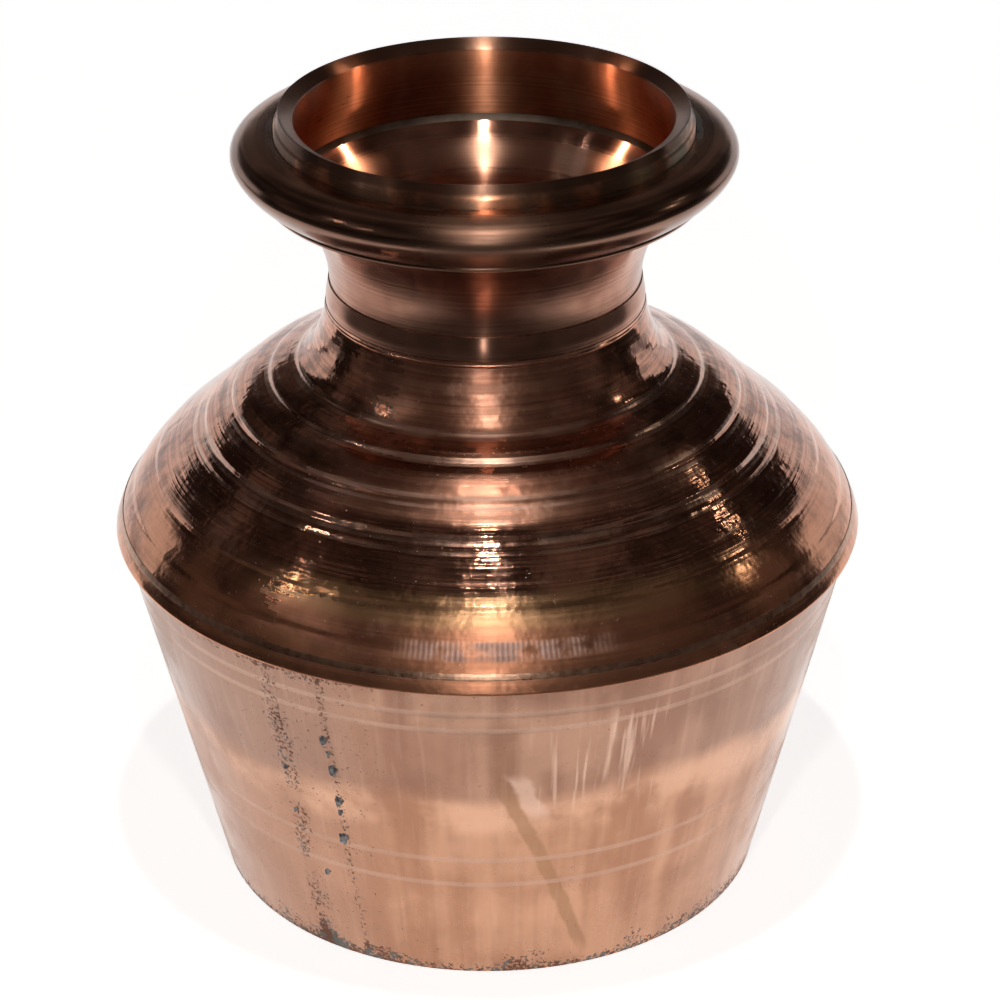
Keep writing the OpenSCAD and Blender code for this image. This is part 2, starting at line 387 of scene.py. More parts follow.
pot_middle = (0, 0, pot_height * MM / 2)
for name, place, size, power, colour in lamp_rows:
    aimed("AREA", name, place, pot_middle, power, colour).size = size
print("lamps:", [row[0] for row in lamp_rows])

# %% [markdown]
# ## Lamps in the mouth
# Inside the mouth the copper lights itself, and orange glows stand left and right of the middle. A
# ring of metal shows a lamp at the place whose normal lies halfway between the lamp and the eye. So a
# low lamp at each side makes a glow on the far wall of the mouth, a higher one makes its foot on the
# flare, and a lamp in front brightens the middle. They are narrow spots that reach nothing else.

# %% Mouth lamps
spot_edge = 0.4
spot_size = 0.02
mouth_warm = (1.0, 0.80, 0.62)
glow_orange, flare_orange = (1.0, 0.55, 0.36), (1.0, 0.62, 0.40)


def mouth_spot(name, place, target, pool_radius, power, colour):
    """A narrow warm lamp that lights only a pool of this radius in the mouth."""
    spot = aimed("SPOT", name, place, target, power, colour)
    spot.spot_size = 2 * math.atan(pool_radius / (Vector(target) - Vector(place)).length)
    spot.spot_blend = spot_edge
    spot.shadow_soft_size = spot_size


mouth_spot("mouth_lamp", (0, -0.75, 1.15), (0, 0.03, 0.27), 0.056, 12, mouth_warm)
for side, name in ((-1, "left"), (1, "right")):
    low_place, far_wall = (1.2155 * side, -0.131, 0.497), (-0.0455 * side, 0.0455, 0.276)
    mouth_spot("glow_lamp_" + name, low_place, far_wall, 0.018, 14, glow_orange)
    high_place, far_flare = (0.90 * side, 0.45, 1.15), (-0.044 * side, 0.042, 0.246)
    mouth_spot("flare_lamp_" + name, high_place, far_flare, 0.022, 38, flare_orange)

# %% [markdown]
# ## Turning a piece
# Most of the pot is round, so most pieces are turned, as on a lathe: an outline is drawn in the plane
# of the axis and spun once round. By hand that is one vertex, extruded along the outline, and the
# Spin tool. A Screw modifier could do it too, but Spin leaves a plain mesh to merge at once. The
# outline goes out along one face of the sheet and back along the other, so the piece is closed and
# has its real thickness.

# %% The lathe
turn_steps = 256
weld_mm = 0.004
crease = math.radians(32)


def turn(name, outline):
    """Spins a closed outline, points of radius and height in millimetres, into a solid ring."""
    bpy.ops.object.select_all(action="DESELECT")
    bpy.ops.mesh.primitive_plane_add(size=MM)
    piece = bpy.context.object
    piece.name = name
    bpy.ops.object.mode_set(mode="EDIT")
    bpy.ops.mesh.merge(type="CENTER")
    here = (0, 0)
    for index, there in enumerate(list(outline) + [outline[0]]):
        move = ((there[0] - here[0]) * MM, 0, (there[1] - here[1]) * MM)
        if index == 0:
            bpy.ops.transform.translate(value=move)
        else:
            bpy.ops.mesh.extrude_region_move(TRANSFORM_OT_translate={"value": move})
        here = there
    bpy.ops.mesh.select_all(action="SELECT")
    bpy.ops.mesh.spin(steps=turn_steps, angle=2 * math.pi, center=(0, 0, 0), axis=(0, 0, 1))
    bpy.ops.mesh.select_all(action="SELECT")
    bpy.ops.mesh.remove_doubles(threshold=weld_mm * MM)
    bpy.ops.mesh.normals_make_consistent(inside=False)
    bpy.ops.object.mode_set(mode="OBJECT")
    bpy.ops.object.shade_smooth_by_angle(angle=crease)
    return piece


def settle(piece, material, slot, *nodes):
    """Gives a piece its finish and lets it stand for the frame nodes that it redraws."""
    piece.data.materials.clear()
    piece.data.materials.append(material)
    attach(piece, "root")
    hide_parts(*nodes)
    print(piece.name, "has", len(piece.data.polygons), "faces")


print("lathe turns in", turn_steps, "steps")

# %% [markdown]
# An outline is made of a few smooth runs. A run is a cubic curve through four control points. `along`
# walks it in even steps, and can keep a distance from it, which gives the other face of the sheet.

# %% Curves for outlines
def straight(a, b):
    """A run that is a straight line."""
    near_a = tuple((2 * p + q) / 3 for p, q in zip(a, b))
    near_b = tuple((p + 2 * q) / 3 for p, q in zip(a, b))
    return [a, near_a, near_b, b]


def on_run(run, t):
    """The point of a run at t, and the unit direction that points inwards from it."""
    weights = ((1 - t) ** 3, 3 * t * (1 - t) ** 2, 3 * t * t * (1 - t), t ** 3)
    point = [sum(w * p[k] for w, p in zip(weights, run)) for k in (0, 1)]
    slopes = ((1 - t) ** 2, 2 * t * (1 - t), t * t)
    heading = [sum(w * (run[i + 1][k] - run[i][k]) for i, w in enumerate(slopes)) for k in (0, 1)]
    length = math.hypot(*heading)
    return point, (-heading[1] / length, heading[0] / length)


def along(run, steps, depth=0.0, first=0.0, last=1.0):
    """Points along a run, each set in from it by depth."""
    points = []
    for i in range(steps + 1):
        point, inward = on_run(run, first + (last - first) * i / steps)
        points.append((point[0] + depth * inward[0], point[1] + depth * inward[1]))
    return points


def arc(centre, radius, first, last, steps):
    """Points on an arc, from one angle to another, in degrees."""
    angles = [math.radians(first + (last - first) * i / steps) for i in range(steps + 1)]
    return [(centre[0] + radius * math.cos(a), centre[1] + radius * math.sin(a)) for a in angles]


print("curve helpers ready")

# %% [markdown]
# Sheet edges aren't sharp. `rounded` cuts each sharp corner of an outline by a small curve, and leaves
# a corner that is almost straight as it is.

# %% Rounded corners
flat_corner = math.radians(150)
corner_steps = 3
corner_share = 0.45


def rounded(outline, radius):
    """A closed outline whose sharp corners are rounded by about this radius."""
    result = []
    for i, point in enumerate(outline):
        corner = Vector(point)
        before = Vector(outline[i - 1]) - corner
        after = Vector(outline[(i + 1) % len(outline)]) - corner
        if before.angle(after) > flat_corner:
            result.append(tuple(point))
            continue
        reach = min(radius, before.length * corner_share, after.length * corner_share)
        start = corner + before.normalized() * reach
        end = corner + after.normalized() * reach
        for k in range(corner_steps + 1):
            t = k / corner_steps
            result.append(tuple((1 - t) ** 2 * start + 2 * t * (1 - t) * corner + t * t * end))
    return result


print("corners are rounded in", corner_steps, "steps")

# %% [markdown]
# ## The sizes that drive the skin
# These are the sheet's thickness and the places where the outlines change, in millimetres. The
# heights that the frame already knows are read from it.

# %% Driving sizes
sheet_t = 1.2
braze_t = 0.4
waist_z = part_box("shoulder_shell")[0].z / MM
base_r = 98.4
waist_r = 130.0
lap_h = 3.0
wall_lean = (waist_r - base_r) / waist_z
wall_slant = math.hypot(1, wall_lean)
sheet_x = sheet_t * wall_slant


def wall_r(z):
    """Outer radius of the conical wall at a height."""
    return base_r + wall_lean * z


print("waist at", round(waist_z, 1), "lean", round(wall_lean, 3))

# %% [markdown]
# ## Copper for the foot
# The foot is pale: it was scoured and wiped, so it has no deep polish. Its colour changes in broad
# upright wipes. Over them is a painted reflection of the floor: dim and mauve above, warm below,
# with a brighter belt between. One noise would look the same all over, so several sizes of noise are
# mixed and then masked by height and direction.

# %% Colour of the foot
foot_dark, foot_light = (0.33, 0.16, 0.10, 1), (0.58, 0.325, 0.215, 1)
mauve_painted_reflection, foot_left = (0.34, 0.195, 0.145, 1), (0.38, 0.22, 0.16, 1)
orange_painted_reflection, pale_painted_reflection = (0.63, 0.315, 0.185, 1), (0.78, 0.45, 0.30, 1)
dim_reflection_from, dim_reflection_to = 75.0, 90.0
painted_reflection_belt = (76.0, 3.0, 9.0)
side_zone, left_zone = (0.90, 0.10, 0.55), (-0.80, 0.25, 0.30)
front_zone = (1.0, 1.8)
sway_mm, mottle_mm = 24.0, 14.0


def foot_colour(place, height, direction):
    """Pale copper in broad upright wipes, under a painted reflection: dim and mauve above, warm and
    orange below.
    """
    sway = cloud(place, 60, 2.0) - 0.5
    mottle = cloud(place, 34, 4.0)
    broad = grid_cloud(direction * 9.0 + sway * 0.9, height / 150.0)
    narrow = grid_cloud(direction * 26.0 + sway * 2.0, height / 60.0)
    tone = ease(broad * 0.38 + narrow * 0.07 + mottle * 0.55, 0.39, 0.61)
    copper = blend(tone, foot_dark, foot_light)
    # Painted reflection of the floor: dim and mauve above, stronger at the front and sides, warm and
    # orange below in front.
    dim_reflection_share = ease(height + sway * sway_mm + (mottle - 0.5) * mottle_mm, dim_reflection_from, dim_reflection_to)
    side = band(abs(direction), *side_zone)
    front = 1.0 - ease(abs(direction), *front_zone)
    copper = blend(dim_reflection_share * (0.16 + 0.26 * front + 0.28 * side), copper, mauve_painted_reflection)
    copper = blend(band(direction, *left_zone) * 0.70, copper, foot_left)
    copper = blend((1.0 - dim_reflection_share) * 0.34 * front, copper, orange_painted_reflection)
    # Painted reflection: a pale belt of the bright floor near the foot, in patches.
    belt_painted_reflection = band(height + sway * sway_mm, *painted_reflection_belt) * ease(mottle, 0.36, 0.60)
    return blend(belt_painted_reflection * 0.75, copper, pale_painted_reflection)


print("belt of the foot at", painted_reflection_belt[0])

# %% [markdown]
# Some marks stand out of that copper: a dull panel and a dark run under the waist, a smear that slants
# down to the right with a pale patch at its top, and bright strokes of the cloth. Each has a place of
# its own, as a direction and a height.

# %% Marks on the foot
dull_panel = ((-0.21, 0.13, 0.07), (99.0, 12.0, 8.0))
dark_run = ((0.045, 0.020, 0.030), (101.0, 10.0, 9.0))
stroke_field = ((0.34, 0.11, 0.14), (97.0, 14.0, 10.0))
smear_field = ((0.0, 0.016, 0.014), (49.0, 34.0, 10.0))
patch_field = ((0.055, 0.018, 0.022), (84.0, 6.0, 6.0))
smear_foot = (math.radians(17.8), 11.0)
smear_top = (math.radians(2.3), 88.0)
panel_brown, run_brown = (0.33, 0.165, 0.11, 1), (0.28, 0.135, 0.085, 1)
smear_brown, stroke_pale = (0.33, 0.17, 0.085, 1), (0.78, 0.52, 0.40, 1)


def foot_wipes(copper, place, height, direction):
    """The marks that stand out: a dull panel, a run, a slanting smear and bright strokes."""
    copper = blend(field(direction, height, *dull_panel) * 0.45, copper, panel_brown)
    copper = blend(field(direction, height, *dark_run) * 0.60, copper, run_brown)
    slope = (smear_foot[0] - smear_top[0]) / (smear_foot[1] - smear_top[1])
    offset = direction - smear_top[0] - (height - smear_top[1]) * slope
    ragged = (cloud(place, 9, 3.0) - 0.5) * 0.03
    smear = field(offset + ragged, height, *smear_field)
    copper = blend(smear * 0.55, copper, smear_brown)
    stroke = ease(grid_cloud(direction * 40.0 + 7.0, height / 40.0), 0.52, 0.74)
    bright = stroke * (0.08 + 0.6 * field(direction, height, *stroke_field))
    patch = field(offset + ragged * 2.0, height, *patch_field)
    return blend(bright + patch * 0.6, copper, stroke_pale)


print("smear from height", smear_foot[1], "to", smear_top[1])

# %% [markdown]
# Pits and specks of solder lie where solder ran: along the floor, under the waist at the left, and on
# the two edges of the seam. A fine noise gives the grit, and wherever a mask lifts that noise over its
# threshold, there are specks.

# %% Pits on the foot
seam_edges = (math.radians(-35.3), math.radians(-26.0))
seam_pit_bands = ((0.012, 0.045), (0.004, 0.014))
waist_pits, loose_pits = (-0.75, 0.30, 0.30), (-0.55, 0.16, 0.16)
floor_edge = (94.0, 97.0)
speck_low, speck_high = 0.67, 0.77


def foot_pits(place, radius, height, direction):
    """Where solder specks and pits are: along the floor, under the waist and on the seam."""
    grit = cloud(place, 1.3, 3.0, 0.7)
    heaps = cloud(place, 13, 2.0)
    near_floor = 1.0 - ease(height, 0.0, 6.0 + 11.0 * ease(heaps, 0.40, 0.62))
    near_floor = near_floor * ease(radius, *floor_edge)
    near_waist = ease(height, waist_z - 12.0 * heaps, waist_z) * band(direction, *waist_pits)
    sway = (cloud(place, 18, 3.0) - 0.5) * 0.06
    seam = band(direction + sway, seam_edges[0], *seam_pit_bands[0]) * ease(heaps, 0.34, 0.54)
    seam = seam + band(direction + sway * 0.5, seam_edges[1], *seam_pit_bands[1]) * 0.85
    loose = band(direction, *loose_pits) * 0.05
    grit = grit + near_floor * 0.25 + near_waist * 0.18 + seam * 0.14 + loose
    return ease(grit, speck_low, speck_high)


print("pits along", [round(math.degrees(edge), 1) for edge in seam_edges], "degrees")

# %% [markdown]
# The whole finish puts these together. Scribed lines are paler where the cloth rubbed them, pits are
# rough and sunk, and a low swell in the relief stands for the dents of the hammer.

# %% Finish of the foot
scribed_heights = (43.1, 54.7, 114.6, 121.8)
scribe_wear = (0.7, 0.6)
scribe_pale = (0.62, 0.40, 0.30, 1)
pit_brown, pit_grey = (0.19, 0.09, 0.06, 1), (0.17, 0.155, 0.145, 1)


def foot_copper():
    """The whole finish of the foot's wall."""
    material, shader, place = new_finish("foot_copper")
    radius, height, direction = measures(place)
    shader.inputs["Metallic"].default_value = 1.0
    scribed = band(height, scribed_heights[0], *scribe_wear)
    for z in scribed_heights[1:]:
        scribed = scribed + band(height, z, *scribe_wear)
    pits = foot_pits(place, radius, height, direction)
    copper = foot_wipes(foot_colour(place, height, direction), place, height, direction)
    copper = blend(scribed * 0.45, copper, scribe_pale)
    pit_colour = blend(ease(cloud(place, 5, 2.0), 0.48, 0.58), pit_brown, pit_grey)
    fill(shader.inputs["Base Color"], blend(pits, copper, pit_colour))
    brushed = grid_cloud(direction * 120.0, height / 14.0)
    mottled = ease(cloud(place, 24, 4.0), 0.36, 0.64)
    rough = 0.13 + 0.04 * brushed + 0.18 * mottled + 0.10 * scribed + 0.3 * pits
    fill(shader.inputs["Roughness"], rough)
    dents = cloud(place, 16, 3.0) * 1.6 + brushed * 0.04 - pits * 0.30
    fill(shader.inputs["Normal"], bumped(dents, 0.10))
    return material


foot_finish = foot_copper()
print(foot_finish.name, "has", len(foot_finish.node_tree.nodes), "nodes")

# %% [markdown]
# ## The foot's wall
# One sheet was cut, bent into a cone and joined. Pairs of scribed lines run round it. They are cut
# into the outline as shallow grooves, so that they are still there when the pot is seen from close by.

# %% Foot wall
scribe_half = 1.0
scribe_depth = 0.12
wall_top = waist_z + lap_h

outer = [(wall_r(0), 0.0)]
for z in scribed_heights:
    for away in (-2, -1, 0, 1, 2):
        depth = scribe_depth if away == 0 else 0.0
        outer.append((wall_r(z + away * scribe_half) - depth, z + away * scribe_half))
outer.append((wall_r(wall_top), wall_top))
inner = [(r - sheet_x, z) for r, z in (outer[-1], outer[0])]
wall = turn("foot_wall", outer + inner)
settle(wall, foot_finish, "copper_wall", "base_wall")

# %% [markdown]
# ## The floor pan
# The pot's floor is a shallow pan whose edge is turned up inside the wall. It is the same sheet, so it
# has the same finish. The outline stops just short of the axis, and the tiny hole is below what can be
# seen.

# %% Floor pan
axis_gap = 0.02
pan_edge_h = 8
pan_corner = 1.2
pan_bend = 1.0

pan_outline = [
    (axis_gap, 0), (wall_r(0) - sheet_x - pan_corner, 0),
    (wall_r(pan_edge_h) - sheet_x, pan_edge_h), (wall_r(pan_edge_h) - 2 * sheet_x, pan_edge_h),
    (wall_r(sheet_t) - 2 * sheet_x, sheet_t), (axis_gap, sheet_t),
]
pan = turn("floor_pan", rounded(pan_outline, pan_bend))
settle(pan, foot_finish, "copper_wall", "base_plate")

# %% [markdown]
# ## Copper for the shoulder
# The shoulder is burnished bright, over circles left by the turning tool. Where it is a mirror it
# shows the dim room, and tarnish clouds it. The turned steps are worn to a pale satin, and near the
# waist the tool chattered and left a row of short ticks. In the lit front they are painted pale, a
# painted highlight.

# %% Marks on the shoulder
satin_bands = ((66.8, 1.5), (76.4, 1.3), (88.6, 0.35), (91.0, 0.35), (99.8, 1.1), (103.0, 0.4))
chatter_r = 126.0
chatter_pitch = 1.75
chatter_and_sheen_field = ((chatter_r, 1.2, 0.9), (0.05, 0.16, 0.18))


def shoulder_marks(place, radius, direction):
    """Masks of the worn satin bands, of the tool chatter with its painted highlight, and of its ticks.
    """
    satin = band(radius, *satin_bands[0], 0.5)
    for middle, half in satin_bands[1:]:
        satin = satin + band(radius, middle, half, 0.4)
    worn = satin * ease(cloud(place, 22, 3.0), 0.30, 0.58)
    ticks = place.math("SINE", direction * (2 * math.pi * chatter_r / chatter_pitch)) * 0.5 + 0.5
    patchy = ease(cloud(place, 9, 3.0), 0.34, 0.60)
    chatter_and_sheen = field(radius, direction, *chatter_and_sheen_field) * patchy
    return worn, chatter_and_sheen, ticks


print("satin bands:", len(satin_bands))

# %% [markdown]
# The colour is a tarnished mirror with paler marks on it, and the roughness follows the same masks: the
# more a place is rubbed, the softer it shines. In the lit front the tarnish is painted thinner, a
# painted sheen, and a gold band on the belly is a painted highlight. Anisotropy draws every glint out
# across the turned circles, as real turned metal does. It is the same all over, so it is set on the
# shader itself.

# %% Zones and colours of the shoulder
belly_zone, neck_zone = (112.0, 122.0), (64.0, 84.0)
painted_highlight_zone, slope_zone, crown_zone = (117.5, 2.5, 3.0), (105.0, 11.0, 4.0), (89.0, 5.0, 4.0)
lit_zone = (0.0, 0.35, 0.60)
shoulder_dark, shoulder_light = (0.42, 0.175, 0.11, 1), (0.74, 0.37, 0.245, 1)
tarnish_brown, scuff_pale = (0.15, 0.075, 0.055, 1), (0.80, 0.48, 0.36, 1)
belly_red, belly_painted_highlight = (0.66, 0.28, 0.15, 1), (0.80, 0.48, 0.24, 1)
satin_pale, speck_pale = (0.84, 0.58, 0.46, 1), (0.80, 0.58, 0.46, 1)
tick_dark, tick_light = (0.66, 0.42, 0.37, 1), (0.95, 0.74, 0.66, 1)
print("belly from radius", belly_zone[0])

# %% Finish of the shoulder
across_turning = 0.25


def shoulder_copper():
    """Burnished copper: a tarnished mirror, grooved on the slope and satin on the belly."""
    material, shader, place = new_finish("shoulder_copper")
    radius, height, direction = measures(place)
    shader.inputs["Metallic"].default_value = 1.0
    shader.inputs["Anisotropic"].default_value = 0.6
    shader.inputs["Anisotropic Rotation"].default_value = across_turning
    blotch = cloud(place, 26, 4.0)
    smoke = cloud(place, 8, 5.0, 0.65)
    down = radius * 0.75 - height * 0.66 + (cloud(place, 30, 2.0) - 0.5) * 0.8
    grooves, broad = lines(down, 0.85), lines(down, 0.20)
    worn, chatter_and_sheen, ticks = shoulder_marks(place, radius, direction)
    scuffs = ease(cloud(place, 14, 4.0, 0.6), 0.54, 0.70)
    specks = ease(cloud(place, 1.3, 1.0), 0.73, 0.77)
    belly = ease(radius, *belly_zone)
    slope, crown = band(radius, *slope_zone), band(radius, *crown_zone)
    near_neck = 1.0 - ease(radius, *neck_zone)
    front = band(direction, *lit_zone)

    tone = ease(blotch * 0.45 + broad * 0.25 + grooves * 0.3, 0.36, 0.64)
    copper = blend(tone, shoulder_dark, shoulder_light)
    tarnish = ease(smoke * 0.6 + broad * 0.4, 0.46, 0.60)
    # Painted sheen: the tarnish is thinner in the lit front.
    copper = blend(tarnish * (0.62 - 0.30 * front), copper, tarnish_brown)
    copper = blend(scuffs * 0.35, copper, scuff_pale)
    copper = blend(belly * ease(blotch, 0.25, 0.55) * 0.7, copper, belly_red)
    copper = blend(worn * 0.5, copper, satin_pale)
    # Painted highlight: a gold band across the belly, in the lit front only.
    copper = blend(band(radius, *painted_highlight_zone) * front * 0.6, copper, belly_painted_highlight)
    # Painted highlight: the chatter is painted pale, in the lit front only.
    copper = blend(chatter_and_sheen * 0.7, copper, blend(ticks, tick_dark, tick_light))
    fill(shader.inputs["Base Color"], blend(specks * 0.6, copper, speck_pale))

    rough = 0.04 + 0.10 * ease(broad, 0.44, 0.70) + 0.07 * smoke + 0.12 * worn + 0.06 * scuffs
    rough = rough + belly * (0.07 + 0.20 * front) + 0.26 * chatter_and_sheen + 0.15 * specks
    rough = rough + (0.24 * near_neck + 0.24 * crown) * front
    fill(shader.inputs["Roughness"], rough)
    cut = grooves * (0.28 + 0.80 * slope * ease(blotch, 0.30, 0.55)) + ticks * chatter_and_sheen * 0.5
    dents = cloud(place, 13, 3.0) * 5.0
    fill(shader.inputs["Normal"], bumped(cut + dents + smoke * 0.25 * belly, 0.07))
    return material


shoulder_finish = shoulder_copper()
print(shoulder_finish.name, "has", len(shoulder_finish.node_tree.nodes), "nodes")

# %% [markdown]
# ## The shoulder
# The shoulder bulges over the foot, slopes up to a flatter crown and turns up into the neck. Its smooth
# outline is four runs that follow each other: belly, slope, crown and the turn into the neck.

# %% Runs of the shoulder
skirt_z = waist_z + 1.0
skirt_r = wall_r(waist_z + lap_h) + (braze_t + sheet_t) * wall_slant
neck_r = 54.1
collar_in_r = neck_r + braze_t
foot_r = collar_in_r + sheet_t
foot_top_z = 213.4
collar_z = 215.5
belly_end = (112.5, 159.9)
crown_start = (92.0, 177.9)
crown_end = (66.0, 193.5)
shoulder_runs = [
    [(skirt_r, skirt_z), (skirt_r - 1.8, skirt_z + 6.3), (122.0, 152.0), belly_end],
    straight(belly_end, crown_start),
    [crown_start, (85.0, 184.6), (79.0, 187.0), crown_end],
    [crown_end, (61.5, 195.75), (57.6, 205.8), (foot_r, foot_top_z)],
]
print("shoulder from radius", round(skirt_r, 1), "to", round(foot_r, 1))

# %% [markdown]
# The tool left steps and bands in it. They are a relief that is added to the smooth outline: each band
# is slightly domed, stands proud on its outer side and falls away over a short step. A fine ripple
# runs over the slope. Relief in the mesh, and not only in the material, also shows in the outline.

# %% Turned relief
step_radii = (132.4, 126.0, 117.5, 103.0, 99.4, 89.7, 76.4, 66.8)
step_heights = (0.0, 0.22, 0.30, 0.15, 0.50, 0.50, 0.45, 0.40)
dome_heights = (0.10, 0.12, 0.16, 0.05, 0.22, 0.28, 0.22, 0.10)
plain_r = 60.0
step_fall = 1.2
ripple_pitches = (1.9, 1.27)
ripple_height = 0.010
ripple_middle, ripple_spread, ripple_least = 109.0, 5.0, 0.25


def relief(r):
    """How far a turned band stands proud of the smooth outline at a radius."""
    ripple = sum(math.sin(2 * math.pi * r / pitch) for pitch in ripple_pitches) * ripple_height
    ripple *= ripple_least + math.exp(-((r - ripple_middle) / ripple_spread) ** 2)
    for i, edge in enumerate(step_radii):
        inner_edge = step_radii[i + 1] if i + 1 < len(step_radii) else plain_r
        if edge >= r > inner_edge:
            across = (r - inner_edge) / (edge - inner_edge)
            fall = min(1.0, (edge - r) / step_fall)
            step = step_heights[i] * across * fall * fall * (3 - 2 * fall)
            return step + 4 * dome_heights[i] * across * (1 - across) + ripple
    return 0.0


def shoulder_skin(spacing):
    """The shoulder's outer face, walked in steps of about this size."""
    points = []
    for run in shoulder_runs:
        chord = sum(math.dist(run[i], run[i + 1]) for i in range(3))
        steps = max(4, round(chord / spacing))
        for i in range(steps):
            point, inward = on_run(run, i / steps)
            proud = relief(point[0])
            points.append((point[0] - proud * inward[0], point[1] - proud * inward[1]))
    return points


print("turned bands:", len(step_radii))

# %% [markdown]
# The outer face ends below in a rounded edge over the wall, and above in a small bead under the collar.
# The inner face is the same runs, set in by the sheet's thickness.

# %% Shoulder
skin_spacing = 0.45
bead_out = 0.3
inner_steps = 8
run_trim = 0.06

skirt_edge = wall_r(waist_z) + braze_t * wall_slant
outer = [(skirt_edge + sheet_x * 0.75, waist_z), (skirt_r - 0.15, waist_z + 0.4)]
outer += shoulder_skin(skin_spacing)
for out, z in ((0, foot_top_z), (bead_out, 213.8), (bead_out, 214.2), (0, 214.6), (0, collar_z)):
    outer.append((foot_r + out, z))
inner = [(collar_in_r, collar_z)]
for run in reversed(shoulder_runs):
    inner += list(reversed(along(run, inner_steps, sheet_t, run_trim, 1 - run_trim)))
inner += [(skirt_edge, waist_z)]
shoulder = turn("shoulder", outer + inner)
settle(shoulder, shoulder_finish, "copper_shoulder", "shoulder_shell")

# %% [markdown]
# ## Copper for the neck, the rim and the mouth
# These three were turned too, and differ in colour, gloss and the grain of the turning lines. The
# mouth's copper is brighter and more orange, partly a painted glow of light that bounces inside it.
# One function makes all three finishes. It also places old marks, a green crust in the crevice round
# the lip and a satin flare inside the neck, darkens the lip, and paints shade on the lower rim. The
# two faces of the flare lie so close together that only their distance from the middle of its bend
# tells them apart.

# %% Finish of the neck, rim and mouth
flare_z = 224.0
flare_r = 40.0
flare_c = (neck_r + flare_r, flare_z)
flare_skin, flare_heights, flare_radii = (flare_r + 0.4, flare_r + 0.8), (236.0, 246.0), (60.0, 63.5)
crevice, crevice_heights = (71.8, 1.8, 1.4), (274.0, 277.0)
rim_radii, painted_shade_under_rim, rim_lit = (74.0, 78.0), (266.0, 8.0, 3.0), (0.0, 0.08, 0.30)
lip_heights = (281.0, 282.5)
crust_brown, crust_green = (0.17, 0.13, 0.10, 1), (0.20, 0.25, 0.19, 1)
rim_painted_shade, lip_shade = (0.16, 0.085, 0.06, 1), (0.27, 0.155, 0.11, 1)
flare_satin = (0.78, 0.50, 0.38, 1)


def turned_copper(name, dark, light, rough, spread, grain):
    """Copper turned in circles: two tones, fine lines of this grain, and grey-green old crevices."""
    material, shader, place = new_finish(name)
    radius, height, direction = measures(place)
    shader.inputs["Metallic"].default_value = 1.0
    shader.inputs["Anisotropic"].default_value = spread
    shader.inputs["Anisotropic Rotation"].default_value = across_turning
    fine = lines(height - radius * 0.4, 1.2, 3.0)
    on_rim = ease(radius, *rim_radii)
    old = band(radius, *crevice) * ease(height, *crevice_heights)
    old = old * ease(cloud(place, 11, 3.0), 0.30, 0.60)
    bend = ((radius - flare_c[0]) ** 2.0 + (height - flare_c[1]) ** 2.0) ** 0.5
    flare = ease(bend, *flare_skin) * ease(height, *flare_heights)
    flare = flare * (1.0 - ease(radius, *flare_radii))

    tone = ease(cloud(place, 20, 4.0) * 0.65 + fine * 0.35, 0.36, 0.66)
    crust = blend(ease(direction, 0.4, 1.1) * 0.8, crust_brown, crust_green)
    copper = blend(old * 0.75, blend(tone, dark, light), crust)
    # Painted shade on the lower rim.
    copper = blend(band(height, *painted_shade_under_rim) * on_rim * 0.7, copper, rim_painted_shade)
    copper = blend(flare * 0.5, copper, flare_satin)
    copper = blend(ease(height, *lip_heights) * 0.85, copper, lip_shade)
    fill(shader.inputs["Base Color"], copper)

    rough = rough + grain * 0.10 * fine + 0.08 * cloud(place, 7, 3.0) + 0.22 * flare + 0.15 * old
    rough = rough + 0.16 * on_rim * band(direction, *rim_lit)
    fill(shader.inputs["Roughness"], rough)
    fill(shader.inputs["Normal"], bumped(fine * grain * 0.5 + cloud(place, 12, 2.0) * 1.2, 0.03))
    return material


neck_finish = turned_copper(
    "neck_copper", (0.37, 0.175, 0.12, 1), (0.60, 0.315, 0.22, 1), rough=0.12, spread=1.0, grain=0.5)
rim_finish = turned_copper(
    "rim_copper", (0.36, 0.19, 0.13, 1), (0.60, 0.33, 0.22, 1), rough=0.13, spread=0.6, grain=0.6)
# Painted glow: the mouth's copper is brighter and more orange, for light that bounces inside the mouth.
mouth_finish_with_painted_glow = turned_copper(
    "mouth_copper_painted_glow", (0.70, 0.28, 0.155, 1), (0.95, 0.47, 0.28, 1), rough=0.24, spread=1.0, grain=0.25)
print("turned finishes:", [f.name for f in (neck_finish, rim_finish, mouth_finish_with_painted_glow)])

# %% [markdown]
# ## The neck and its collar
# The neck is one tube that flares in an arc up to the underside of the rim. A smith would raise the
# flare over a stake. Here it is two arcs about one middle, so the sheet keeps its thickness. The
# collar is a separate flat band round its foot, upright at first and then leaning in.

# %% Neck
neck_foot_z = 213.5
flare_end = 62.3
flare_steps = 40
outside = arc(flare_c, flare_r, 180, 180 - flare_end, flare_steps)
inside = arc(flare_c, flare_r + sheet_t, 180 - flare_end, 180, flare_steps)
neck = turn("neck", [(neck_r - sheet_t, neck_foot_z), (neck_r, neck_foot_z)] + outside + inside)
settle(neck, neck_finish, "copper_neck", "neck_funnel")

# %% Collar
collar_r = foot_r - 0.2
collar_foot = [(collar_in_r, collar_z), (collar_r - 0.2, collar_z), (collar_r, collar_z + 0.2)]
collar_slope = [
    (collar_r, collar_z + 2.0), (collar_r, collar_z + 3.6),
    (collar_r - 0.5, flare_z - 3.0), (collar_in_r, flare_z),
]
collar = turn("neck_band", collar_foot + along(collar_slope, 12))
settle(collar, neck_finish, "copper_neck", "neck_collar")

# %% [markdown]
# ## The rim
# The rim is an apron of sheet that droops from the lip, swells out and turns in again, and its lower
# edge is rolled into a bead that lies against the neck. Two runs and an arc draw the outer face, and
# the same runs, set in, draw the inner one.

